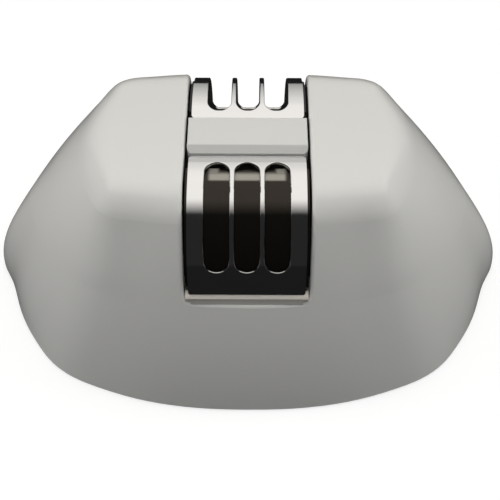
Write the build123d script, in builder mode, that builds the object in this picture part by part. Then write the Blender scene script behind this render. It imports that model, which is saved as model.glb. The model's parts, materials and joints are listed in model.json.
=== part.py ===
"""IPL hair remover: a palm-sized dome that stands on its rim, built as separate pieces.

Frame: millimetres, +Z up, X across the crest, -Y the front. The origin is on the table,
under the middle of the dome, at the underside of the rubber feet.
"""

from build123d import *

import math
import os

os.makedirs("parts", exist_ok=True)

# ---------------------------------------------------------------- driving dimensions
FOOT_H = 0.8          # gap that the rubber feet leave under the rim
RISE = 50.7           # rim to crest
CREST_Z = FOOT_H + RISE
HALF_DEPTH = 44.1     # rim, front to centre
HALF_WIDTH = 65.7     # rim, wing tip to centre
WALL = 2.4            # shell wall, measured level
ROOF = 2.2            # shell wall at the crest
SKIRT_LEAN = math.radians(25.1)   # front and rear faces, rim to crest, from vertical
SKIRT_BULGE = 1.6     # how far those faces swell out at mid height
CREST_ROUND = 5.5     # reach of the rounding from the crest edge
WING_REACH = 5.9      # how fast the wing bulge fades away from the side ridge

SLOT_W = 28.0         # channel over the crest
FRONT_SILL_Z = 29.0   # lower end of the channel, front
REAR_SILL_Z = 23.8    # lower end of the channel, rear
CHANNEL_ROUND = 0.8   # rounding of the shell's edge around the channel

GUARD_R = 20.0        # outer radius of the curved guards
GUARD_AXES = {-1: (11.5, 31.0), 1: (10.6, 30.2)}   # distance from the centre plane and height
GUARD_T = 0.8         # sheet thickness
GUARD_HALF_W = 13.0
GUARD_TOP = 98.0      # angle of the upper bend
SLOT_GAP = 5.5        # width of one guard slot
SLOT_PITCH = 6.62
SLOT_TOP = 97.7       # angle where every guard slot ends above
LENS_R = 18.7

FLOOR_Z = 3.2         # top of the base cover
CHASSIS_X = 15.2      # inner face of the chassis cheeks
CHASSIS_T = 2.0
BUTTON_Z = 13.0       # height of the rear controls
SCREW_R = 1.0
SCREW_CLEAR = 0.1
BOSS_X = 43.0
BOSS_Y = 22.0
FAN_X = 33.5
FAN_HALF = 15.0

# Stations of the dome, crest to rim: depth below the crest, half width at the side
# ridge, the soft corner between front face and side face (x, y), and the wing bulge.
STATIONS = [
    (0.0, 29.0, 28.3, 13.6, 0.0),
    (0.6, 32.2, 29.3, 16.5, 0.0),
    (2.2, 35.3, 30.3, 18.7, 0.0),
    (5.0, 38.6, 31.5, 20.5, 0.0),
    (9.0, 42.3, 32.8, 22.0, 0.0),
    (15.0, 47.4, 34.4, 24.5, 0.3),
    (23.0, 53.6, 36.8, 27.1, 1.1),
    (32.0, 59.4, 39.8, 29.8, 2.3),
    (41.0, 63.7, 43.1, 31.9, 3.2),
    (RISE, HALF_WIDTH, 46.8, 33.6, 3.4),
]
LOFT_SPANS = ((0, 3), (3, 6), (6, 9))   # crest rounding, shoulder and skirt
FRONT_STEPS = (0.0, 0.2, 0.4, 0.6, 0.78, 0.92)
SIDE_STEPS = (0.92, 0.78, 0.62, 0.47, 0.34, 0.22, 0.11, 0.0)
FRONT_POWER = 2.4     # how flat the front face is before its corner
SIDE_POWER = 2.1


# ---------------------------------------------------------------- helpers
def half_depth(depth):
    """Distance of the front face from the centre plane at a depth below the crest."""
    slope = math.tan(SKIRT_LEAN)
    edge = HALF_DEPTH - RISE * slope
    radius = CREST_ROUND / math.tan((math.pi / 2 - SKIRT_LEAN) / 2)
    swell = 4.0 * SKIRT_BULGE * (depth / RISE) * (1.0 - depth / RISE)
    if depth >= CREST_ROUND * math.cos(SKIRT_LEAN):
        return edge + depth * slope + swell
    return edge - CREST_ROUND + math.sqrt(radius**2 - (radius - depth) ** 2) + swell


def station_outline(station, inset_x=0.0, inset_y=0.0):
    """Points of one closed level outline, shrunk by the insets at the rim's scale."""
    depth, half_w, corner_x, corner_y, wing = station
    front = half_depth(depth)
    side = half_w - wing
    quarter = []
    for t in FRONT_STEPS:
        quarter.append((corner_x * t, front - (front - corner_y) * t**FRONT_POWER))
    for t in SIDE_STEPS:
        y = corner_y * t
        x = side - (side - corner_x) * t**SIDE_POWER
        quarter.append((x + wing * math.exp(-((y / WING_REACH) ** 2)), y))
    fx = 1.0 - inset_x / HALF_WIDTH
    fy = 1.0 - inset_y / HALF_DEPTH
    quarter = [(x * fx, y * fy) for x, y in quarter]
    lower = [(x, -y) for x, y in quarter[-2::-1]]
    left_lower = [(-x, -y) for x, y in quarter[1:]]
    left_upper = [(-x, y) for x, y in quarter[-2:0:-1]]
    return quarter + lower + left_lower + left_upper


def dome(inset_xy, inset_z):
    """Solid dome, drawn in from the outer surface by a wall thickness."""
    fz = 1.0 - inset_z / RISE
    with BuildPart() as body:
        for first, last in LOFT_SPANS:
            for station in STATIONS[first:last + 1]:
                level = FOOT_H + (RISE - station[0]) * fz
                with BuildSketch(Plane.XY.offset(level)):
                    with BuildLine():
                        Spline(*station_outline(station, inset_xy, inset_xy), periodic=True)
                    make_face()
            loft()
    return body.part


def box_between(low, high, mode=Mode.ADD):
    """Box from one corner to the opposite one, in the running part."""
    centre = [(a + b) / 2 for a, b in zip(low, high)]
    size = [b - a for a, b in zip(low, high)]
    with Locations(Location(centre)):
        Box(*size, mode=mode)


def rod(start, direction, radius, length, mode=Mode.ADD):
    """Cylinder from a start point along a direction, in the running part."""
    with BuildSketch(Plane(origin=start, z_dir=direction)) as end:
        Circle(radius)
    extrude(end.sketch, amount=length, mode=mode)


def guard_point(side, radius, angle):
    """Point (y, z) on a circle about a guard axis; side is -1 front, +1 rear."""
    a = math.radians(angle)
    axis_y, axis_z = GUARD_AXES[side]
    return (side * (axis_y + radius * math.cos(a)), axis_z + radius * math.sin(a))


def guard_band(side, r_in, r_out, low, high, x_from, x_to, mode=Mode.ADD):
    """Arc-shaped band about a guard axis, between two x values."""
    mid = (low + high) / 2
    with BuildSketch(Plane.YZ.offset(x_from)) as section:
        with BuildLine():
            ThreePointArc(guard_point(side, r_out, low), guard_point(side, r_out, mid),
                          guard_point(side, r_out, high))
            Line(guard_point(side, r_out, high), guard_point(side, r_in, high))
            ThreePointArc(guard_point(side, r_in, high), guard_point(side, r_in, mid),
                          guard_point(side, r_in, low))
            Line(guard_point(side, r_in, low), guard_point(side, r_out, low))
        make_face()
    extrude(section.sketch, amount=x_to - x_from, mode=mode)


def skirt_plane(x, height=BUTTON_Z):
    """Plane on the rear face of the shell at x, its z_dir pointing outwards."""
    depth = CREST_Z - height
    lower, upper = [s for s in STATIONS if s[0] >= depth][0], [s for s in STATIONS if s[0] < depth][-1]
    share = (depth - upper[0]) / (lower[0] - upper[0])
    corner_x = upper[2] + share * (lower[2] - upper[2])
    corner_y = upper[3] + share * (lower[3] - upper[3])
    drop = half_depth(depth) - corner_y
    y = half_depth(depth) - drop * (abs(x) / corner_x) ** FRONT_POWER
    turn = drop * FRONT_POWER * (abs(x) / corner_x) ** (FRONT_POWER - 1) / corner_x
    slope = math.tan(SKIRT_LEAN) + 4.0 * SKIRT_BULGE / RISE * (1.0 - 2.0 * depth / RISE)
    normal = Vector(math.copysign(turn, x), 1.0, slope).normalized()
    return Plane(origin=(x, y, height), x_dir=Vector(0, 0, 1).cross(normal), z_dir=normal)


def save(part, name):
    """Label one finished piece and write its STEP file."""
    part.label = name
    export_step(part, f"parts/{name}.step")


flash_plane = skirt_plane(0.0)
power_plane = skirt_plane(19.0)
light_plane = skirt_plane(-19.0)
INLET_X = -31.0
INLET_Z = 11.5
LIGHT_OFFSETS = [-6.0, -3.0, 0.0, 3.0, 6.0]
CORNERS = [(sx, sy) for sx in (-1, 1) for sy in (-1, 1)]

# ---------------------------------------------------------------- casing
outer_dome = dome(0.0, 0.0)
inner_dome = dome(WALL, ROOF)
boss_limit = dome(WALL / 2, ROOF / 2)

with BuildPart() as bosses:
    for sx, sy in CORNERS:
        rod((sx * BOSS_X, sy * BOSS_Y, FLOOR_Z), (0, 0, 1), 3.2, 26.0)
    add(boss_limit, mode=Mode.INTERSECT)
    for sx, sy in CORNERS:
        rod((sx * BOSS_X, sy * BOSS_Y, FLOOR_Z), (0, 0, 1), SCREW_R + SCREW_CLEAR, 9.0, Mode.SUBTRACT)

with BuildPart() as channel:
    for y_far, sill in ((-60.0, FRONT_SILL_Z), (60.0, REAR_SILL_Z)):
        box_between((-SLOT_W / 2, min(y_far, 0.0), sill), (SLOT_W / 2, max(y_far, 0.0), 60.0))
    low_edges = channel.edges().filter_by(Axis.Y).filter_by(lambda e: e.center().Z < FRONT_SILL_Z + 0.1)
    fillet(low_edges, 2.0)



def on_channel_mouth(edge):
    """True for an edge where a channel wall or sill meets the outer surface of the dome."""
    middle = edge @ 0.5
    if abs(middle.X) > SLOT_W / 2 + 0.01 or middle.Z < REAR_SILL_Z - 0.1:
        return False
    return abs(middle.Y) > half_depth(CREST_Z - middle.Z) - 1.0 or middle.Z > CREST_Z - 0.1


with BuildPart() as outer_shell:
    add(outer_dome)
    add(inner_dome, mode=Mode.SUBTRACT)
    add(bosses.part)
    add(channel.part, mode=Mode.SUBTRACT)
    with BuildSketch(flash_plane.offset(-8.0)):
        SlotOverall(16.4, 8.4)
    extrude(amount=10.0, mode=Mode.SUBTRACT)
    rod(power_plane.offset(-8.0).origin, power_plane.z_dir, 4.2, 10.0, Mode.SUBTRACT)
    with BuildSketch(light_plane.offset(-8.0)):
        with Locations(*[(dx, 0) for dx in LIGHT_OFFSETS]):
            Circle(0.95)
    extrude(amount=10.0, mode=Mode.SUBTRACT)
    rod((INLET_X, 25.0, INLET_Z), (0, 1, 0), 4.65, 20.0, Mode.SUBTRACT)
    rim = outer_shell.edges().filter_by(on_channel_mouth)
    fillet(rim, CHANNEL_ROUND)
save(outer_shell.part, "outer_shell")

COVER_Z = 1.0
COVER_INSET = 3.9
FOOT_X = 24.0
FOOT_Y = 29.0
FOOT_R = 4.5
FOOT_SUNK = 0.5
with BuildPart() as base_cover:
    with BuildSketch(Plane.XY.offset(COVER_Z)):
        with BuildLine():
            Spline(*station_outline(STATIONS[-1], COVER_INSET, COVER_INSET), periodic=True)
        make_face()
    extrude(amount=FLOOR_Z - COVER_Z)
    for sx, sy in CORNERS:
        rod((sx * BOSS_X, sy * BOSS_Y, 0), (0, 0, 1), SCREW_R + SCREW_CLEAR, 5.0, Mode.SUBTRACT)
        rod((sx * BOSS_X, sy * BOSS_Y, 0), (0, 0, 1), 2.3, 2.2, Mode.SUBTRACT)
        rod((sx * FOOT_X, sy * FOOT_Y, 0), (0, 0, 1), FOOT_R + SCREW_CLEAR, COVER_Z + FOOT_SUNK,
            Mode.SUBTRACT)
        rod((FAN_X + sx * 12.5, sy * 12.5, 0), (0, 0, 1), SCREW_R + SCREW_CLEAR, 5.0, Mode.SUBTRACT)
        rod((-35.0 + sx * 13.5, sy * 15.0, FLOOR_Z), (0, 0, 1), 2.4, 2.0)
        rod((-35.0 + sx * 13.5, sy * 15.0, COVER_Z + 0.6), (0, 0, 1), SCREW_R + SCREW_CLEAR, 6.0,
            Mode.SUBTRACT)
    with BuildSketch(Plane.XY):
        with Locations((FAN_X, 0)):
            with GridLocations(4.0, 0, 6, 1):
                SlotOverall(20.0, 2.2, rotation=90)
    extrude(amount=5.0, mode=Mode.SUBTRACT)
save(base_cover.part, "base_cover")

with BuildPart() as rubber_feet:
    for sx, sy in CORNERS:
        rod((sx * FOOT_X, sy * FOOT_Y, 0), (0, 0, 1), FOOT_R, COVER_Z + FOOT_SUNK)
    chamfer(rubber_feet.faces().sort_by(Axis.Z)[0:4].edges(), 0.3)
save(rubber_feet.part, "rubber_feet")


def screw(head_at, direction, length, head_r=1.9, head_t=1.1):
    """Pan-head screw with a drive recess; head_at is the seat under the head."""
    back = Vector(*direction) * -head_t
    rod(head_at, direction, SCREW_R, length)
    rod(Vector(*head_at) + back, direction, head_r, head_t)
    with BuildSketch(Plane(origin=Vector(*head_at) + back, z_dir=direction)) as drive:
        Rectangle(2.2, 0.5)
        Rectangle(0.5, 2.2)
    extrude(drive.sketch, amount=0.5, mode=Mode.SUBTRACT)


with BuildPart() as base_screws:
    for sx, sy in CORNERS:
        screw((sx * BOSS_X, sy * BOSS_Y, 2.2), (0, 0, 1), 9.0)
save(base_screws.part, "base_screws")

# ---------------------------------------------------------------- chassis and heat sink
CHASSIS_PROFILE = [(22.0, FLOOR_Z), (27.5, 20.0), (27.5, 27.5), (14.0, 42.0)]
LEDGE_SCREW_Y = 25.2
LEDGE_SCREW_Z = 24.3
HOUSING_SCREW_Z = 38.0
with BuildPart() as chassis:
    for x_from in (-CHASSIS_X - CHASSIS_T, CHASSIS_X):
        with BuildSketch(Plane.YZ.offset(x_from)):
            Polygon(*CHASSIS_PROFILE, *[(-y, z) for y, z in CHASSIS_PROFILE[::-1]], align=None)
        extrude(amount=CHASSIS_T)
    box_between((-CHASSIS_X, -12.0, FLOOR_Z), (CHASSIS_X, 12.0, FLOOR_Z + 2.0))
    box_between((-20.0, -7.5, 7.0), (20.0, 7.5, 21.5), Mode.SUBTRACT)
    for sy in (-1, 1):
        rod((-20.0, sy * LEDGE_SCREW_Y, LEDGE_SCREW_Z), (1, 0, 0), SCREW_R + SCREW_CLEAR, 40.0, Mode.SUBTRACT)
    rod((-20.0, 0.0, HOUSING_SCREW_Z), (1, 0, 0), SCREW_R + SCREW_CLEAR, 40.0, Mode.SUBTRACT)
save(chassis.part, "chassis")

ENGINE_HALF_Y = 8.2
ENGINE_Z = 26.0
with BuildPart() as heat_sink:
    box_between((-CHASSIS_X, -ENGINE_HALF_Y, 22.5), (CHASSIS_X, ENGINE_HALF_Y, ENGINE_Z))
    for k in range(7):
        y = -6.9 + 2.3 * k
        box_between((-14.8, y - 0.55, FLOOR_Z + 2.0), (14.8, y + 0.55, 22.5))
save(heat_sink.part, "heat_sink")

# ---------------------------------------------------------------- light engine
LAMP_Z = 31.6
LAMP_R = 1.8
LEDGE_Z = 33.0        # spring seat inside the lamp housing
STOP_Z = 41.2         # underside of the lip that keeps the contact head in
HOUSING_TOP = 43.0
with BuildPart() as lamp_housing:
    box_between((-CHASSIS_X, -ENGINE_HALF_Y, ENGINE_Z), (CHASSIS_X, ENGINE_HALF_Y, HOUSING_TOP))
    box_between((-13.4, -7.0, LEDGE_Z), (13.4, 7.0, STOP_Z), Mode.SUBTRACT)
    box_between((-12.6, -5.3, STOP_Z), (12.6, 5.3, HOUSING_TOP), Mode.SUBTRACT)
    box_between((-11.2, -4.7, 27.5), (11.2, 4.7, LEDGE_Z), Mode.SUBTRACT)
    rod((-CHASSIS_X, 0.0, LAMP_Z), (1, 0, 0), 1.5, 2 * CHASSIS_X, Mode.SUBTRACT)
    for sx in (-1, 1):
        rod((sx * 14.0, 0.0, HOUSING_SCREW_Z), (sx, 0, 0), SCREW_R + SCREW_CLEAR, 2.0, Mode.SUBTRACT)
save(lamp_housing.part, "lamp_housing")

REFLECTOR_X = 8.8
REFLECTOR_TOP = 37.6
with BuildPart() as reflector:
    box_between((-REFLECTOR_X, -4.5, 27.6), (REFLECTOR_X, 4.5, REFLECTOR_TOP))
    with BuildSketch(Plane.YZ.offset(-REFLECTOR_X)):
        with BuildLine():
            Spline((-3.9, REFLECTOR_TOP), (-2.9, 31.8), (0.0, 28.6), (2.9, 31.8), (3.9, REFLECTOR_TOP))
            Line((3.9, REFLECTOR_TOP), (-3.9, REFLECTOR_TOP))
        make_face()
    extrude(amount=2 * REFLECTOR_X, mode=Mode.SUBTRACT)
save(reflector.part, "reflector")

with BuildPart() as flash_lamp_tube:
    rod((-10.0, 0.0, LAMP_Z), (1, 0, 0), LAMP_R, 20.0)
    rod((-9.4, 0.0, LAMP_Z), (1, 0, 0), LAMP_R - 0.5, 18.8, Mode.SUBTRACT)
save(flash_lamp_tube.part, "flash_lamp_tube")

with BuildPart() as lamp_electrodes:
    for sx in (-1, 1):
        rod((sx * 10.0, 0.0, LAMP_Z), (sx, 0, 0), 1.3, 4.0)
        rod((sx * 14.0, 0.0, LAMP_Z), (sx, 0, 0), 0.6, 1.0)
save(lamp_electrodes.part, "lamp_electrodes")

with BuildPart() as lamp_end_holders:
    for sx in (-1, 1):
        inner, outer = sorted((sx * 9.0, sx * 11.0))
        box_between((inner, -4.3, 27.6), (outer, 4.3, 35.8))
    rod((-12.0, 0.0, LAMP_Z), (1, 0, 0), LAMP_R + SCREW_CLEAR, 24.0, Mode.SUBTRACT)
save(lamp_end_holders.part, "lamp_end_holders")

with BuildPart() as optical_filter:
    box_between((-8.7, -3.6, 36.3), (8.7, 3.6, 37.3))
save(optical_filter.part, "optical_filter")

with BuildPart() as contact_switch:
    box_between((11.5, -2.2, LEDGE_Z), (13.3, 2.2, 36.8))
    box_between((12.0, -0.8, 36.8), (12.8, 0.8, 37.4))
save(contact_switch.part, "contact_switch")

# ---------------------------------------------------------------- contact head
CAP_SEAT = 47.0
FLANGE_Z = 39.6
with BuildPart() as head_frame:
    box_between((-13.1, -6.6, FLANGE_Z), (13.1, 6.6, STOP_Z - 0.1))
    box_between((-12.3, -5.0, STOP_Z - 0.1), (12.3, 5.0, CAP_SEAT))
    box_between((-12.0, -3.8, CAP_SEAT), (12.0, 3.8, 49.2))
    box_between((-10.5, -2.5, FLANGE_Z), (10.5, 2.5, 49.2), Mode.SUBTRACT)
    box_between((-11.3, -3.1, 47.6), (11.3, 3.1, 49.2), Mode.SUBTRACT)
    upright_edges = head_frame.edges().filter_by(Axis.Z)
    fillet(upright_edges.filter_by(lambda e: 42 < e.center().Z < 47), 0.8)
save(head_frame.part, "head_frame")

with BuildPart() as quartz_window:
    box_between((-11.3, -3.1, 47.6), (11.3, 3.1, 49.1))
save(quartz_window.part, "quartz_window")

SPRING_R = 0.7
SPRING_WIRE = 0.2
SPRING_TURNS = 5
with BuildPart() as contact_springs:
    for sx, sy in CORNERS:
        pitch = (FLANGE_Z - LEDGE_Z - 2 * SPRING_WIRE) / SPRING_TURNS
        with BuildLine(Plane(origin=(sx * 12.1, sy * 5.8, LEDGE_Z + SPRING_WIRE))) as coil:
            Helix(pitch, pitch * SPRING_TURNS, SPRING_R)
        with BuildSketch(Plane(origin=coil.line @ 0, z_dir=coil.line % 0)):
            Circle(SPRING_WIRE)
        sweep(path=coil.line)
save(contact_springs.part, "contact_springs")

CAP_HALF_Y = 5.45
with BuildPart() as window_cap:
    with BuildSketch(Plane.YZ.offset(-13.5)):
        Polygon((-CAP_HALF_Y, CAP_SEAT), (-CAP_HALF_Y, 50.0), (-4.1, CREST_Z), (4.1, CREST_Z),
                (CAP_HALF_Y, 50.0), (CAP_HALF_Y, CAP_SEAT), align=None)
    extrude(amount=27.0)
    fillet(window_cap.edges().filter_by(Axis.Z), 1.0)
    box_between((-12.3, -4.1, CAP_SEAT), (12.3, 4.1, 49.7), Mode.SUBTRACT)
    fillet(window_cap.faces().sort_by(Axis.Z)[-1].edges(), 0.4)
save(window_cap.part, "window_cap")

# ---------------------------------------------------------------- guards, lens and duct
FRONT_ARC_END = 3.0
FRONT_SLOT_END = 22.5
REAR_ARC_END = -12.0
REAR_SLOT_END = -6.0
FRONT_LIP_Y = 6.4
REAR_LIP_Y = 5.9
GUARD_CORNER = 1.0
SLOT_EDGE = 0.25


def guard_sheet(side, arc_end, slot_end, lip_y):
    """Curved chrome guard with a turned-down lip at the crest and three long slots."""
    bend = math.degrees(SLOT_GAP / 2 / (GUARD_R - GUARD_T / 2))
    r_in = GUARD_R - GUARD_T
    with BuildPart() as sheet:
        guard_band(side, r_in, GUARD_R, arc_end, GUARD_TOP, -GUARD_HALF_W, GUARD_HALF_W)
        top_out = guard_point(side, GUARD_R, GUARD_TOP)
        top_in = guard_point(side, r_in, GUARD_TOP)
        with BuildSketch(Plane.YZ.offset(-GUARD_HALF_W)):
            Polygon(top_out, (side * lip_y, top_out[1] - 0.6), (side * lip_y, top_out[1] - 1.4), top_in,
                    align=None)
        extrude(amount=2 * GUARD_HALF_W)
        thin_edges = sheet.edges().filter_by(lambda e: abs(e.length - GUARD_T) < 0.01)
        fillet(thin_edges.filter_by(lambda e: abs(e.center().X) > GUARD_HALF_W - 0.1), GUARD_CORNER)
        for k in (-1, 0, 1):
            x = k * SLOT_PITCH
            guard_band(side, r_in - 1.0, GUARD_R + 1.0, slot_end + bend, SLOT_TOP - bend,
                       x - SLOT_GAP / 2, x + SLOT_GAP / 2, Mode.SUBTRACT)
            for angle in (slot_end + bend, SLOT_TOP - bend):
                near = guard_point(side, r_in - 1.0, angle)
                outward = Vector(0, *guard_point(side, GUARD_R + 1.0, angle)) - Vector(0, *near)
                rod((x, *near), outward, SLOT_GAP / 2, 3.0, Mode.SUBTRACT)
        axis_y, axis_z = GUARD_AXES[side]
        outer_curves = sheet.edges().filter_by(lambda e: e.geom_type != GeomType.LINE).filter_by(
            lambda e: abs(math.hypot((e @ 0.5).Y - side * axis_y, (e @ 0.5).Z - axis_z) - GUARD_R) < 0.02)
        slot_rims = outer_curves.filter_by(lambda e: abs((e @ 0.5).X) < GUARD_HALF_W - 2 * GUARD_CORNER)
        fillet(slot_rims, SLOT_EDGE)
    return sheet.part


save(guard_sheet(-1, FRONT_ARC_END, FRONT_SLOT_END, FRONT_LIP_Y), "front_guard")
save(guard_sheet(1, REAR_ARC_END, REAR_SLOT_END, REAR_LIP_Y), "rear_guard")

LEDGE_EAR_X = 12.4
LEDGE_HALF_X = 13.7
with BuildPart() as front_ledge:
    with BuildSketch(Plane.YZ.offset(-LEDGE_HALF_X)):
        Polygon((-28.6, FRONT_SILL_Z + 0.1), (-31.3, FRONT_SILL_Z + 0.1), (-32.1, 30.6), (-32.1, 31.5),
                (-31.7, 31.9), (-28.6, 31.9), align=None)
    extrude(amount=2 * LEDGE_HALF_X)
    low_ends = front_ledge.edges().filter_by(Axis.Y).group_by(Axis.Z)[0]
    fillet(low_ends, 1.8)
    for sx in (-1, 1):
        near, far = sorted((sx * LEDGE_EAR_X, sx * CHASSIS_X))
        box_between((near, -27.4, 22.0), (far, -23.0, 27.2))
        inner, outer = sorted((sx * LEDGE_EAR_X, sx * LEDGE_HALF_X))
        box_between((inner, -28.6, 29.3), (outer, -25.0, 31.2))
        box_between((inner, -28.2, 24.0), (outer, -25.0, 29.3))
    rod((-20.0, -LEDGE_SCREW_Y, LEDGE_SCREW_Z), (1, 0, 0), SCREW_R + SCREW_CLEAR, 40.0, Mode.SUBTRACT)
save(front_ledge.part, "front_ledge")

with BuildPart() as rear_ledge:
    box_between((-LEDGE_HALF_X, 27.5, REAR_SILL_Z + 0.1), (LEDGE_HALF_X, 33.4, 27.6))
    fillet(rear_ledge.edges().filter_by(Axis.Y).group_by(Axis.Z)[0], 1.9)
    box_between((-14.0, 27.0, 25.5), (14.0, 34.0, 28.0), Mode.SUBTRACT)
    for sx in (-1, 1):
        near, far = sorted((sx * LEDGE_EAR_X, sx * CHASSIS_X))
        box_between((near, 23.0, 20.6), (far, 27.4, 25.0))
        inner, outer = sorted((sx * LEDGE_EAR_X, sx * LEDGE_HALF_X))
        box_between((inner, 25.0, 22.0), (outer, 27.5, 25.5))
    rod((-20.0, LEDGE_SCREW_Y, LEDGE_SCREW_Z), (1, 0, 0), SCREW_R + SCREW_CLEAR, 40.0, Mode.SUBTRACT)
save(rear_ledge.part, "rear_ledge")

with BuildPart() as ledge_screws:
    for sx, sy in CORNERS:
        screw((sx * (CHASSIS_X + CHASSIS_T), sy * LEDGE_SCREW_Y, LEDGE_SCREW_Z), (-sx, 0, 0), 4.4)
save(ledge_screws.part, "ledge_screws")

with BuildPart() as housing_screws:
    for sx in (-1, 1):
        screw((sx * (CHASSIS_X + CHASSIS_T), 0.0, HOUSING_SCREW_Z), (-sx, 0, 0), 3.0)
save(housing_screws.part, "housing_screws")

LENS_T = 1.5
with BuildPart() as front_lens:
    guard_band(-1, LENS_R - LENS_T, LENS_R, 3.3, 96.0, -13.6, 13.6)
    for x in (-12.9, 11.9):
        guard_band(-1, LENS_R - 0.2, GUARD_R - GUARD_T - 0.05, 4.0, 95.0, x, x + 1.0)
save(front_lens.part, "front_lens")

with BuildPart() as lens_carrier:
    for x in (-13.6, 12.0):
        guard_band(-1, 14.0, LENS_R - LENS_T - 0.05, 3.3, 90.0, x, x + 1.6)
        box_between((x, -26.0, 31.6), (x + 1.6, -ENGINE_HALF_Y, 35.0))
save(lens_carrier.part, "lens_carrier")

SENSOR_ANGLE = 58.0
with BuildPart() as skin_sensor:
    y, z = guard_point(-1, 13.6, SENSOR_ANGLE)
    a = math.radians(SENSOR_ANGLE)
    sensor_plane = Plane(origin=(0, y, z), x_dir=(1, 0, 0), z_dir=(0, -math.cos(a), math.sin(a)))
    with BuildSketch(sensor_plane.offset(-1.2)):
        Rectangle(23.8, 6.0)
    extrude(amount=1.2)
    with BuildSketch(sensor_plane):
        Rectangle(6.0, 4.0)
    extrude(amount=1.4)
    with BuildSketch(sensor_plane.offset(1.4)):
        with Locations((-1.5, 0), (1.5, 0)):
            Circle(1.1)
    extrude(amount=0.8)
save(skin_sensor.part, "skin_sensor")

DUCT_R = 12.4
DUCT_LOW = -13.5
DUCT_HIGH = 99.5
with BuildPart() as rear_duct:
    guard_band(1, DUCT_R - 1.0, DUCT_R, DUCT_LOW, DUCT_HIGH, -13.6, 13.6)
    for x in (-13.6, 12.6):
        guard_band(1, DUCT_R - 0.1, GUARD_R - GUARD_T - 0.05, DUCT_LOW, GUARD_TOP - 1.0, x, x + 1.0)
    guard_band(1, DUCT_R - 0.1, LENS_R - 0.3, GUARD_TOP - 1.5, DUCT_HIGH, -13.6, 13.6)
    guard_band(1, DUCT_R - 0.1, GUARD_R - GUARD_T - 0.05, DUCT_LOW, REAR_ARC_END, -13.6, 13.6)
    for low in (-4.0, 14.0, 32.0):
        guard_band(1, DUCT_R - 2.0, DUCT_R + 1.0, low, low + 11.0, -11.0, 11.0, Mode.SUBTRACT)
save(rear_duct.part, "rear_duct")

# ---------------------------------------------------------------- fan
FAN_BORE = 13.0
FAN_TOP = 11.2
with BuildPart() as fan_frame:
    box_between((FAN_X - FAN_HALF, -FAN_HALF, FLOOR_Z), (FAN_X + FAN_HALF, FAN_HALF, FAN_TOP))
    fillet(fan_frame.edges().filter_by(Axis.Z), 2.0)
    rod((FAN_X, 0, FLOOR_Z), (0, 0, 1), FAN_BORE, 10.0, Mode.SUBTRACT)
    for sx, sy in CORNERS:
        rod((FAN_X + sx * 12.5, sy * 12.5, FLOOR_Z), (0, 0, 1), SCREW_R + SCREW_CLEAR, 10.0, Mode.SUBTRACT)
    rod((FAN_X, 0, 9.9), (0, 0, 1), 5.0, FAN_TOP - 9.9)
    with BuildSketch(Plane.XY.offset(9.9)):
        with Locations((FAN_X, 0)):
            with PolarLocations(9.0, 3, 30):
                Rectangle(9.4, 1.8)
    extrude(amount=FAN_TOP - 9.9)
    rod((FAN_X, 0, 9.0), (0, 0, 1), 1.0, 5.0, Mode.SUBTRACT)
save(fan_frame.part, "fan_frame")

with BuildPart() as fan_shaft:
    rod((FAN_X, 0, 4.4), (0, 0, 1), 1.0, FAN_TOP - 4.4)
save(fan_shaft.part, "fan_shaft")

with BuildPart() as fan_rotor:
    rod((FAN_X, 0, 4.2), (0, 0, 1), 5.0, 5.3)
    rod((FAN_X, 0, 4.4), (0, 0, 1), 1.05, 6.0, Mode.SUBTRACT)
    for k in range(7):
        turn = math.radians(k * 360 / 7)
        reach = Vector(math.cos(turn), math.sin(turn), 0)
        blade_plane = Plane(origin=Vector(FAN_X, 0, 6.8) + reach * 4.4, x_dir=Vector(-reach.Y, reach.X, 0),
                            z_dir=reach)
        with BuildSketch(blade_plane):
            Rectangle(5.6, 0.8, rotation=38)
        extrude(amount=8.0)
save(fan_rotor.part, "fan_rotor")

with BuildPart() as fan_screws:
    for sx, sy in CORNERS:
        screw((FAN_X + sx * 12.5, sy * 12.5, FAN_TOP), (0, 0, -1), 9.4)
save(fan_screws.part, "fan_screws")

# ---------------------------------------------------------------- electronics
BOARD_X = -35.0
BOARD_Z = FLOOR_Z + 2.0
BOARD_T = 1.6
with BuildPart() as main_board:
    box_between((-51.0, -17.5, BOARD_Z), (-19.0, 17.5, BOARD_Z + BOARD_T))
    for sx, sy in CORNERS:
        rod((BOARD_X + sx * 13.5, sy * 15.0, BOARD_Z), (0, 0, 1), SCREW_R + SCREW_CLEAR, 3.0, Mode.SUBTRACT)
save(main_board.part, "main_board")

with BuildPart() as board_screws:
    for sx, sy in CORNERS:
        screw((BOARD_X + sx * 13.5, sy * 15.0, BOARD_Z + BOARD_T), (0, 0, -1), 4.6)
save(board_screws.part, "board_screws")

CAP_R = 9.8
CAP_X = -37.0
with BuildPart() as main_capacitor:
    rod((CAP_X, -12.6, BOARD_Z + BOARD_T + CAP_R), (0, 1, 0), CAP_R, 25.2)
    fillet(main_capacitor.edges().filter_by(GeomType.CIRCLE), 0.8)
    rod((CAP_X - 3.0, 12.5, BOARD_Z + BOARD_T + CAP_R), (0, 1, 0), 0.5, 2.0)
    rod((CAP_X + 3.0, 12.5, BOARD_Z + BOARD_T + CAP_R), (0, 1, 0), 0.5, 2.0)
save(main_capacitor.part, "main_capacitor")

with BuildPart() as trigger_transformer:
    box_between((-26.4, -10.5, BOARD_Z + BOARD_T), (-19.4, -2.5, BOARD_Z + BOARD_T + 1.2))
    rod((-22.9, -6.5, BOARD_Z + BOARD_T + 1.2), (0, 0, 1), 3.2, 8.0)
    rod((-22.9, -6.5, BOARD_Z + BOARD_T + 9.2), (0, 0, 1), 3.5, 1.0)
save(trigger_transformer.part, "trigger_transformer")

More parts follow.
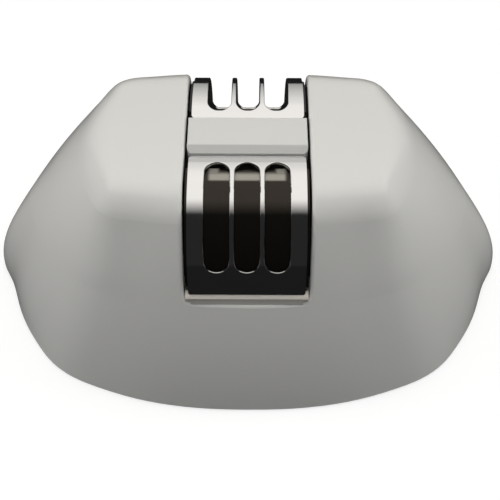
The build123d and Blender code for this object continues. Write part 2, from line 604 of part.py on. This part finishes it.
with BuildPart() as board_components:
    box_between((-26.0, 1.0, BOARD_Z + BOARD_T), (-20.0, 6.0, BOARD_Z + BOARD_T + 2.0))
    box_between((-25.0, 7.5, BOARD_Z + BOARD_T), (-20.5, 11.5, BOARD_Z + BOARD_T + 4.5))
    box_between((-50.4, -6.0, BOARD_Z + BOARD_T), (-47.6, 6.0, BOARD_Z + BOARD_T + 6.0))
save(board_components.part, "board_components")

with BuildPart() as dc_inlet:
    box_between((INLET_X - 5.0, 18.5, 7.0), (INLET_X + 5.0, 28.5, 16.0))
    rod((INLET_X, 28.5, INLET_Z), (0, 1, 0), 4.5, 7.3)
    rod((INLET_X, 26.0, INLET_Z), (0, 1, 0), 2.75, 12.0, Mode.SUBTRACT)
    rod((INLET_X, 25.5, INLET_Z), (0, 1, 0), 1.0, 8.6)
save(dc_inlet.part, "dc_inlet")

# ---------------------------------------------------------------- rear controls
with BuildPart() as flash_button:
    with BuildSketch(flash_plane.offset(-4.0)):
        SlotOverall(16.0, 8.0)
    extrude(amount=4.9)
    fillet(flash_button.faces().filter_by(flash_plane).sort_by(Axis.Y)[-1].edges(), 0.7)
    with BuildSketch(flash_plane.offset(-4.0)):
        SlotOverall(18.6, 10.6)
    extrude(amount=1.0)
    with BuildSketch(flash_plane.offset(-5.2)):
        Circle(1.6)
    extrude(amount=1.3)
save(flash_button.part, "flash_button")

with BuildPart() as power_button:
    with BuildSketch(power_plane.offset(-4.0)):
        Circle(4.0)
    extrude(amount=4.6)
    fillet(power_button.faces().filter_by(power_plane).sort_by(Axis.Y)[-1].edges(), 0.5)
    with BuildSketch(power_plane.offset(-4.0)):
        Circle(5.2)
    extrude(amount=1.0)
    with BuildSketch(power_plane.offset(-5.0)):
        Circle(1.4)
    extrude(amount=1.1)
save(power_button.part, "power_button")

with BuildPart() as indicator_light_pipe:
    with BuildSketch(light_plane.offset(-4.2)):
        SlotOverall(15.6, 3.2)
    extrude(amount=1.2)
    with BuildSketch(light_plane.offset(-3.1)):
        with Locations(*[(dx, 0) for dx in LIGHT_OFFSETS]):
            Circle(0.8)
    extrude(amount=3.3)
save(indicator_light_pipe.part, "indicator_light_pipe")

BOARD_DEPTH = -9.8
with BuildPart() as button_board:
    with BuildSketch(flash_plane.offset(BOARD_DEPTH - 1.2)):
        Rectangle(50.0, 8.4)
    extrude(amount=1.2)
save(button_board.part, "button_board")

with BuildPart() as tact_switches:
    with BuildSketch(flash_plane.offset(BOARD_DEPTH)):
        Rectangle(6.0, 6.0)
    extrude(amount=3.0)
    with BuildSketch(flash_plane.offset(BOARD_DEPTH)):
        with Locations((-19.0, 0.0)):
            Rectangle(6.0, 6.0)
    extrude(amount=2.2)
save(tact_switches.part, "tact_switches")

with BuildPart() as status_leds:
    with BuildSketch(flash_plane.offset(BOARD_DEPTH)):
        with Locations(*[(19.0 + dx, 0.0) for dx in LIGHT_OFFSETS]):
            Rectangle(1.6, 1.2)
    extrude(amount=0.8)
save(status_leds.part, "status_leds")
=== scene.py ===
"""Looks of the IPL hair remover: materials, extra pieces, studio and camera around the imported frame."""

import json
import math

import bpy
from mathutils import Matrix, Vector


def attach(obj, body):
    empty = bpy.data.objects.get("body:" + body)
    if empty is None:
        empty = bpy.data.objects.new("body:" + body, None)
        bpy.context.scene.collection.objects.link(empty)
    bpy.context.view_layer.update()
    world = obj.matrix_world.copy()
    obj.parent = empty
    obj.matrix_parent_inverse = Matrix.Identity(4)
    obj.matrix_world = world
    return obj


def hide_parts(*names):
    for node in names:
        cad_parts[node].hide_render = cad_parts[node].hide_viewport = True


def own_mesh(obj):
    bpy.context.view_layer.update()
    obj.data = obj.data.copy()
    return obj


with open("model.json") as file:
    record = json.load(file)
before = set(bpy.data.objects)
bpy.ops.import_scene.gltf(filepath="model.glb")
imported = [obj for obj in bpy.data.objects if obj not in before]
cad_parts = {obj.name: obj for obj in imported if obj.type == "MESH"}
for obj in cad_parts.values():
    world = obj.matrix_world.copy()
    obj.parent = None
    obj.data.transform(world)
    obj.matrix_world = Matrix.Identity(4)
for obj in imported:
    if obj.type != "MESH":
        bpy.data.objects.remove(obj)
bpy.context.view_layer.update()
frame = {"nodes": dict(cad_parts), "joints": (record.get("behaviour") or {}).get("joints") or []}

MM = 0.001
CREST_Z = 51.5
GUARD_Y = 11.5     # axis of the front guard and lens: distance in front of the middle
GUARD_Z = 31.0


def mesh_object(name, verts, faces):
    """New mesh object, linked to the scene."""
    mesh = bpy.data.meshes.new(name)
    mesh.from_pydata(verts, [], faces)
    made = bpy.data.objects.new(name, mesh)
    bpy.context.scene.collection.objects.link(made)
    return made


# ---------------------------------------------------------------- camera
def make_camera():
    """Camera above the front, looking down at the crest."""
    data = bpy.data.cameras.new("camera")
    data.sensor_width = 36.0
    data.lens = 64.8
    data.clip_start = 0.005
    camera = bpy.data.objects.new("camera", data)
    camera.location = (1.3 * MM, -140.5 * MM, (CREST_Z + 148.4) * MM)
    camera.rotation_euler = (math.radians(35.9), 0.0, math.radians(0.31))
    bpy.context.scene.collection.objects.link(camera)
    bpy.context.scene.camera = camera


# ---------------------------------------------------------------- material helpers
def new_material(name):
    """Empty node material with its Principled shader."""
    mat = bpy.data.materials.new(name)
    mat.use_nodes = True
    tree = mat.node_tree
    shader = tree.nodes["Principled BSDF"]
    return mat, tree, shader


def node(tree, kind, **values):
    """New shader node, with its input sockets set by name."""
    made = tree.nodes.new(kind)
    for key, value in values.items():
        made.inputs[key.replace("_", " ")].default_value = value
    return made


def noise(tree, scale, detail=3.0, stretch=(1.0, 1.0, 1.0)):
    """Noise in object space; returns its factor socket."""
    coords = tree.nodes.new("ShaderNodeTexCoord")
    mapping = node(tree, "ShaderNodeMapping", Scale=stretch)
    tree.links.new(coords.outputs["Object"], mapping.inputs["Vector"])
    made = node(tree, "ShaderNodeTexNoise", Scale=scale, Detail=detail)
    tree.links.new(mapping.outputs["Vector"], made.inputs["Vector"])
    return made.outputs["Fac"]


def spread(tree, fac, low, high, socket):
    """Map a 0-1 factor to a range and feed it to a socket."""
    ranged = node(tree, "ShaderNodeMapRange", To_Min=low, To_Max=high)
    tree.links.new(fac, ranged.inputs["Value"])
    tree.links.new(ranged.outputs["Result"], socket)


def tint(tree, fac, dark, light, socket):
    """Mix two colours by a factor and feed the result to a colour socket."""
    mix = tree.nodes.new("ShaderNodeMix")
    mix.data_type = "RGBA"
    mix.inputs["A"].default_value = (*dark, 1.0)
    mix.inputs["B"].default_value = (*light, 1.0)
    tree.links.new(fac, mix.inputs["Factor"])
    tree.links.new(mix.outputs["Result"], socket)


def bump(tree, shader, fac, strength, distance):
    """Fine surface relief from a factor."""
    made = node(tree, "ShaderNodeBump", Strength=strength, Distance=distance)
    tree.links.new(fac, made.inputs["Height"])
    tree.links.new(made.outputs["Normal"], shader.inputs["Normal"])


def plastic(name, colour, rough, grain=900.0, relief=0.03, vary=0.03, coat=0.0):
    """Moulded plastic: faint colour drift, uneven gloss and fine grain."""
    mat, tree, shader = new_material(name)
    dark = tuple(c * (1.0 - vary) for c in colour)
    light = tuple(min(1.0, c * (1.0 + vary)) for c in colour)
    tint(tree, noise(tree, 35.0), dark, light, shader.inputs["Base Color"])
    spread(tree, noise(tree, 120.0), rough * 0.85, rough * 1.15, shader.inputs["Roughness"])
    bump(tree, shader, noise(tree, grain, 5.0), relief, 0.0002)
    shader.inputs["IOR"].default_value = 1.5
    shader.inputs["Coat Weight"].default_value = coat
    shader.inputs["Coat Roughness"].default_value = 0.05
    return mat


def metal(name, colour, rough, stretch=(1.0, 1.0, 1.0), relief=0.02, grain=700.0):
    """Metal with a light brushed or polished grain."""
    mat, tree, shader = new_material(name)
    shader.inputs["Metallic"].default_value = 1.0
    dark = tuple(c * 0.95 for c in colour)
    grain_fac = noise(tree, grain, 4.0, stretch)
    tint(tree, grain_fac, dark, colour, shader.inputs["Base Color"])
    spread(tree, grain_fac, rough * 0.8, rough * 1.2, shader.inputs["Roughness"])
    bump(tree, shader, grain_fac, relief, 0.00005)
    return mat


def glass(name, colour, rough):
    """Clear or tinted glass with faint smears."""
    mat, tree, shader = new_material(name)
    shader.inputs["Transmission Weight"].default_value = 1.0
    shader.inputs["IOR"].default_value = 1.46
    dark = tuple(c * 0.97 for c in colour)
    tint(tree, noise(tree, 60.0), dark, colour, shader.inputs["Base Color"])
    spread(tree, noise(tree, 200.0), rough, rough + 0.03, shader.inputs["Roughness"])
    return mat


def object_xyz(tree):
    """Node that gives the object-space X, Y and Z of the shaded point."""
    coords = tree.nodes.new("ShaderNodeTexCoord")
    split = tree.nodes.new("ShaderNodeSeparateXYZ")
    tree.links.new(coords.outputs["Object"], split.inputs["Vector"])
    return split


def soft_step(tree, value, low, high, rising=True):
    """Smooth 0-1 step of a value between two thresholds."""
    made = node(tree, "ShaderNodeMapRange", From_Min=low, From_Max=high)
    made.interpolation_type = "SMOOTHSTEP"
    made.inputs["To Min"].default_value = 0.0 if rising else 1.0
    made.inputs["To Max"].default_value = 1.0 if rising else 0.0
    tree.links.new(value, made.inputs["Value"])
    return made.outputs["Result"]


def math_node(tree, operation, first, second=None):
    """Math node; each operand is a socket or a number."""
    made = tree.nodes.new("ShaderNodeMath")
    made.operation = operation
    for slot, operand in enumerate((first, second)):
        if operand is None:
            continue
        if isinstance(operand, (int, float)):
            made.inputs[slot].default_value = operand
        else:
            tree.links.new(operand, made.inputs[slot])
    return made.outputs["Value"]


def lens_material():
    """Smoked black lens with a grey U-shaped painted reflection near its upper end: the softbox light
    mirrored in the glass, painted into the base colour.
    """
    outer_edge = (7.9, 8.9)       # mm from the middle, where the painted reflection fades out
    inner_edge = (5.9, 6.8)       # mm from the middle, where the painted reflection's uprights fade in
    bar_start = (84.4, 86.6)      # degrees up the lens, where the painted reflection's cross bar fades in
    bar_end = (89.4, 93.6)        # degrees up the lens, where it fades out
    upright_share = 0.65          # strength of the uprights beside the bar's
    mat = plastic("lens_black", (0.006, 0.0055, 0.005), 0.05, relief=0.0, vary=0.1)
    tree = mat.node_tree
    shader = tree.nodes["Principled BSDF"]
    shader.inputs["Specular IOR Level"].default_value = 0.42
    shader.inputs["Specular Tint"].default_value = (1.0, 0.86, 0.72, 1.0)
    split = object_xyz(tree)
    across = math_node(tree, "ABSOLUTE", split.outputs["X"])
    forward = math_node(tree, "SUBTRACT", -GUARD_Y * MM, split.outputs["Y"])
    upward = math_node(tree, "SUBTRACT", split.outputs["Z"], GUARD_Z * MM)
    angle = math_node(tree, "ARCTAN2", upward, forward)
    inside = soft_step(tree, across, *(edge * MM for edge in outer_edge), rising=False)
    band_low = soft_step(tree, angle, *map(math.radians, bar_start))
    band_high = soft_step(tree, angle, *map(math.radians, bar_end), rising=False)
    cross_bar = math_node(tree, "MULTIPLY", band_low, band_high)
    sides = soft_step(tree, across, *(edge * MM for edge in inner_edge))
    uprights = math_node(tree, "MULTIPLY", band_low, sides)
    dimmer = math_node(tree, "MULTIPLY", uprights, upright_share)
    painted_reflection_fac = math_node(tree, "MULTIPLY", inside, math_node(tree, "MAXIMUM", cross_bar, dimmer))
    mix = tree.nodes.new("ShaderNodeMix")
    mix.data_type = "RGBA"
    base = shader.inputs["Base Color"].links[0].from_socket
    tree.links.new(base, mix.inputs["A"])
    # Grey of the painted reflection: softbox light mirrored in the lens, painted into its base colour.
    mix.inputs["B"].default_value = (0.37, 0.36, 0.32, 1.0)
    tree.links.new(painted_reflection_fac, mix.inputs["Factor"])
    tree.links.new(mix.outputs["Result"], shader.inputs["Base Color"])
    return mat


def give(mat, *names):
    """Assign one material to CAD nodes."""
    for name in names:
        slots = frame["nodes"][name].data.materials
        slots.clear()
        slots.append(mat)


# ---------------------------------------------------------------- materials of the CAD nodes
def dress_nodes():
    """Every CAD node gets its procedural material."""
    shell_white = plastic("shell_white", (0.665, 0.663, 0.645), 0.35, grain=1500.0, relief=0.012, vary=0.012,
                          coat=0.8)
    give(shell_white, "outer_shell")
    give(plastic("cap_white", (0.637, 0.637, 0.619), 0.34, relief=0.02, vary=0.012), "window_cap")
    give(plastic("ledge_white", (0.62, 0.59, 0.54), 0.32, relief=0.02, vary=0.02),
         "front_ledge", "rear_ledge")
    give(metal("chrome_guard", (0.86, 0.86, 0.87), 0.09, stretch=(0.04, 1.0, 1.0), relief=0.01),
         "front_guard", "rear_guard")
    give(lens_material(), "front_lens")
    give(plastic("inner_black", (0.02, 0.02, 0.02), 0.5, relief=0.06), "chassis", "lamp_housing",
         "lens_carrier", "rear_duct", "fan_rotor")
    give(plastic("component_black", (0.015, 0.015, 0.016), 0.42, relief=0.06), "contact_switch",
         "skin_sensor", "fan_frame", "board_components", "dc_inlet", "tact_switches")
    give(plastic("cover_grey", (0.42, 0.42, 0.41), 0.55, grain=1800.0, relief=0.2), "base_cover")
    give(plastic("foot_rubber", (0.025, 0.025, 0.025), 0.8, grain=1400.0, relief=0.2), "rubber_feet")
    give(plastic("head_grey", (0.05, 0.05, 0.055), 0.45), "head_frame")
    give(plastic("button_white", (0.66, 0.66, 0.65), 0.3), "power_button")
    give(metal("button_chrome", (0.80, 0.80, 0.82), 0.12), "flash_button")
    give(metal("screw_steel", (0.50, 0.50, 0.50), 0.3), "base_screws", "ledge_screws", "housing_screws",
         "fan_screws", "board_screws", "fan_shaft")
    give(metal("spring_steel", (0.42, 0.42, 0.43), 0.28), "contact_springs")
    give(metal("electrode_metal", (0.56, 0.54, 0.50), 0.3), "lamp_electrodes")
    give(metal("reflector_metal", (0.88, 0.88, 0.89), 0.05), "reflector")
    give(metal("heat_metal", (0.60, 0.61, 0.63), 0.35, stretch=(0.05, 1.0, 1.0)), "heat_sink")
    give(plastic("ceramic_white", (0.78, 0.76, 0.70), 0.6), "lamp_end_holders")
    give(glass("window_glass", (0.92, 0.95, 0.97), 0.0), "quartz_window")
    give(glass("filter_glass", (0.85, 0.42, 0.08), 0.02), "optical_filter")
    give(glass("lamp_glass", (0.96, 0.97, 0.98), 0.0), "flash_lamp_tube")
    give(glass("light_clear", (0.88, 0.93, 0.95), 0.25), "indicator_light_pipe")
    give(plastic("board_green", (0.012, 0.10, 0.035), 0.35, relief=0.08), "main_board", "button_board")
    give(plastic("capacitor_sleeve", (0.012, 0.022, 0.07), 0.25), "main_capacitor")
    give(metal("coil_copper", (0.60, 0.28, 0.12), 0.35, stretch=(1.0, 1.0, 12.0), relief=0.3),
         "trigger_transformer")
    give(plastic("led_white", (0.80, 0.80, 0.62), 0.4), "status_leds")


# ---------------------------------------------------------------- studio
# A plain softbox: dim in front, bright overhead, fading towards the rear. Each stop is degrees
# from the front horizon over the top, and a colour.
DIM = (0.02, 0.02, 0.02)
BRIGHT = (1.0, 0.97, 0.92)
FADED = (0.35, 0.35, 0.33)
ARCH_STOPS = [(0.0, DIM), (68.0, DIM), (88.0, BRIGHT), (125.0, BRIGHT), (180.0, FADED)]
ARCH_R = 0.9
ARCH_HALF = 1.1
ARCH_STRENGTH = 1.0


def glowing_material(name):
    """Material that only emits; returns it with its tree and its emission node."""
    mat = bpy.data.materials.new(name)
    mat.use_nodes = True
    tree = mat.node_tree
    tree.nodes.clear()
    emit = node(tree, "ShaderNodeEmission", Strength=ARCH_STRENGTH)
    out = tree.nodes.new("ShaderNodeOutputMaterial")
    tree.links.new(emit.outputs["Emission"], out.inputs["Surface"])
    return mat, tree, emit


def colour_ramp(tree, share, shades, emit):
    """Feeds the emission colour from a 0-1 value through a list of (place, colour)."""
    ramp = tree.nodes.new("ShaderNodeValToRGB")
    tree.links.new(share, ramp.inputs["Fac"])
    stops = ramp.color_ramp.elements
    for k, (place, colour) in enumerate(shades):
        stop = stops[k] if k < 2 else stops.new(place)
        stop.position = place
        stop.color = (*colour, 1.0)
    tree.links.new(ramp.outputs["Color"], emit.inputs["Color"])


def make_arch():
    """Curved softbox over the object, brighter overhead and dark to the front."""
    steps = 90
    verts, faces = [], []
    for k in range(steps + 1):
        a = math.pi * k / steps
        for x in (-ARCH_HALF, ARCH_HALF):
            verts.append((x, -ARCH_R * math.cos(a), ARCH_R * math.sin(a)))
    for k in range(steps):
        faces.append((2 * k, 2 * k + 1, 2 * k + 3, 2 * k + 2))
    arch = mesh_object("softbox_arch", verts, faces)
    arch.location = (0.0, 0.0, 0.04)
    mat, tree, emit = glowing_material("softbox_arch")
    split = object_xyz(tree)
    forward = math_node(tree, "MULTIPLY", split.outputs["Y"], -1.0)
    angle = math_node(tree, "ARCTAN2", split.outputs["Z"], forward)
    share = math_node(tree, "DIVIDE", angle, math.pi)
    colour_ramp(tree, share, [(degrees / 180.0, colour) for degrees, colour in ARCH_STOPS], emit)
    arch.data.materials.append(mat)
    arch.visible_camera = False


def area_light(name, place, aim, size, power, colour=(1.0, 1.0, 1.0)):
    """Soft fill that lights surfaces without showing in reflections."""
    data = bpy.data.lights.new(name, "AREA")
    data.shape = "SQUARE"
    data.size = size
    data.energy = power
    data.color = colour
    lamp = bpy.data.objects.new(name, data)
    lamp.location = place
    lamp.rotation_euler = (Vector(aim) - Vector(place)).to_track_quat("-Z", "Y").to_euler()
    lamp.visible_glossy = False
    lamp.visible_camera = False
    bpy.context.scene.collection.objects.link(lamp)


def white_stage(thing, glow, albedo):
    """Makes an object pale stage, such as a floor or backdrop, seen by the camera alone."""
    mat, tree, shader = new_material(thing.name)
    shader.inputs["Base Color"].default_value = (albedo, albedo, albedo, 1.0)
    shader.inputs["Roughness"].default_value = 1.0
    shader.inputs["Specular IOR Level"].default_value = 0.0
    shader.inputs["Emission Color"].default_value = (1.0, 1.0, 1.0, 1.0)
    shader.inputs["Emission Strength"].default_value = glow
    thing.data.materials.append(mat)
    thing.visible_diffuse = False
    thing.visible_glossy = False
    thing.visible_transmission = False
    thing.visible_shadow = False


def make_stage():
    """Pale floor, backdrop wall, softbox and fills."""
    reach = 4.0
    corners = [(-reach, -reach, 0), (reach, -reach, 0), (reach, reach, 0), (-reach, reach, 0)]
    white_stage(mesh_object("floor", corners, [(0, 1, 2, 3)]), 0.72, 0.35)
    ring = 48
    verts = [(reach * math.cos(2 * math.pi * k / ring), reach * math.sin(2 * math.pi * k / ring), z)
             for z in (-0.01, 4.0) for k in range(ring)]
    faces = [(k, (k + 1) % ring, ring + (k + 1) % ring, ring + k) for k in range(ring)]
    white_stage(mesh_object("backdrop", verts, faces), 0.95, 0.0)
    make_arch()
    area_light("near_fill", (0.0, -0.10, 0.28), (0.0, 0.0, 0.02), 0.2, 0.16)
    area_light("front_fill", (0.0, -0.17, 0.22), (0.0, 0.0, 0.02), 0.15, 0.125)
    for side in (-1.0, 1.0):
        area_light(f"side_fill_{side:+.0f}", (side * 1.05, 0.05, 0.22), (0.0, 0.0, 0.02), 0.5, 5.2)
    world = bpy.data.worlds.new("world")
    world.use_nodes = True
    world.node_tree.nodes["Background"].inputs["Color"].default_value = (0.012, 0.012, 0.012, 1.0)
    bpy.context.scene.world = world
    bpy.context.scene.view_settings.view_transform = "Standard"


def extruded(name, outline, half_x):
    """Closed bar with a given (y, z) outline, along X."""
    count = len(outline)
    verts = [(x, y, z) for x in (-half_x, half_x) for y, z in outline]
    faces = [tuple(range(count))[::-1], tuple(range(count, 2 * count))]
    faces += [(k, (k + 1) % count, count + (k + 1) % count, count + k) for k in range(count)]
    return mesh_object(name, verts, faces)


def make_ledge_trim():
    """Upright front face of the warm white sill under the front guard."""
    outline = [(-31.30, 29.12), (-31.95, 29.12), (-32.08, 29.25), (-32.08, 31.42), (-31.98, 31.60),
               (-31.75, 31.78), (-31.30, 31.78)]
    trim = extruded("ledge_trim", [(y * MM, z * MM) for y, z in outline], 12.6 * MM)
    trim.data.materials.append(bpy.data.materials["ledge_white"])
    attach(trim, "housing")


def make_springs():
    """The contact head's return springs: four coils at their free height."""
    turns, steps, around = 5, 24, 8
    seat, height = 33.0, 6.6            # mm: floor under the springs, and their free height
    coil_r, wire = 0.7, 0.19            # mm: radius of the coil and of the wire
    rings = turns * steps + 1
    verts, faces = [], []
    for x in (-12.1, 12.1):
        for y in (-5.8, 5.8):
            base = len(verts)
            for k in range(rings):
                turn = 2 * math.pi * k / steps
                middle = seat + wire + (height - 2 * wire) * k / (rings - 1)
                for m in range(around):
                    lean = 2 * math.pi * m / around
                    reach = coil_r + wire * math.cos(lean)
                    verts.append(((x + reach * math.cos(turn)) * MM, (y + reach * math.sin(turn)) * MM,
                                  (middle + wire * math.sin(lean)) * MM))
            for k in range(rings - 1):
                a, b = base + k * around, base + (k + 1) * around
                faces += [(a + m, b + m, b + (m + 1) % around, a + (m + 1) % around) for m in range(around)]
            faces += [tuple(range(base, base + around)), tuple(range(len(verts) - around, len(verts)))[::-1]]
    springs = mesh_object("return_springs", verts, faces)
    for face in springs.data.polygons:
        face.use_smooth = True
    springs.data.materials.append(bpy.data.materials["spring_steel"])
    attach(springs, "housing")
    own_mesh(springs)
    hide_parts("contact_springs")


def make_power_mark():
    """Generic power symbol printed on the power key: an open ring and a bar."""
    joint = next(j for j in frame["joints"] if j["name"] == "power_press")
    outward = -Vector(joint["axis"]).normalized()
    right = Vector((0.0, 0.0, 1.0)).cross(outward).normalized()
    upward = outward.cross(right)
    key = frame["nodes"]["power_button"]
    points = [key.matrix_world @ v.co for v in key.data.vertices]
    front = max(p.dot(outward) for p in points)
    rim = [p for p in points if p.dot(outward) > front - 0.02 * MM]
    centre = sum(rim, Vector()) / len(rim)
    centre += outward * (front - centre.dot(outward))
    steps = 40
    strips = [[(r * math.sin(a), r * math.cos(a)) for r in (1.35, 1.75)]
              for a in (math.radians(38.0 + (322.0 - 38.0) * k / steps) for k in range(steps + 1))]
    bar = [[(-0.2, 0.5), (0.2, 0.5)], [(-0.2, 1.95), (0.2, 1.95)]]
    verts, faces = [], []
    for chain in (strips, bar):
        base = len(verts)
        for pair in chain:
            for height in (0.0, 0.05):
                verts += [centre + (right * x + upward * y + outward * height) * MM for x, y in pair]
        for k in range(len(chain) - 1):
            a, b = base + 4 * k, base + 4 * k + 4
            faces += [(a + 2, a + 3, b + 3, b + 2), (a, b, b + 1, a + 1)]
            faces += [(a, a + 2, b + 2, b), (a + 1, b + 1, b + 3, a + 3)]
        last = base + 4 * (len(chain) - 1)
        faces += [(base, base + 1, base + 3, base + 2), (last, last + 2, last + 3, last + 1)]
    mark = mesh_object("power_mark", verts, faces)
    mark.data.materials.append(plastic("mark_grey", (0.16, 0.16, 0.17), 0.5, relief=0.0))
    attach(mark, "power_key")


make_camera()
dress_nodes()
make_ledge_trim()
make_springs()
make_power_mark()
make_stage()
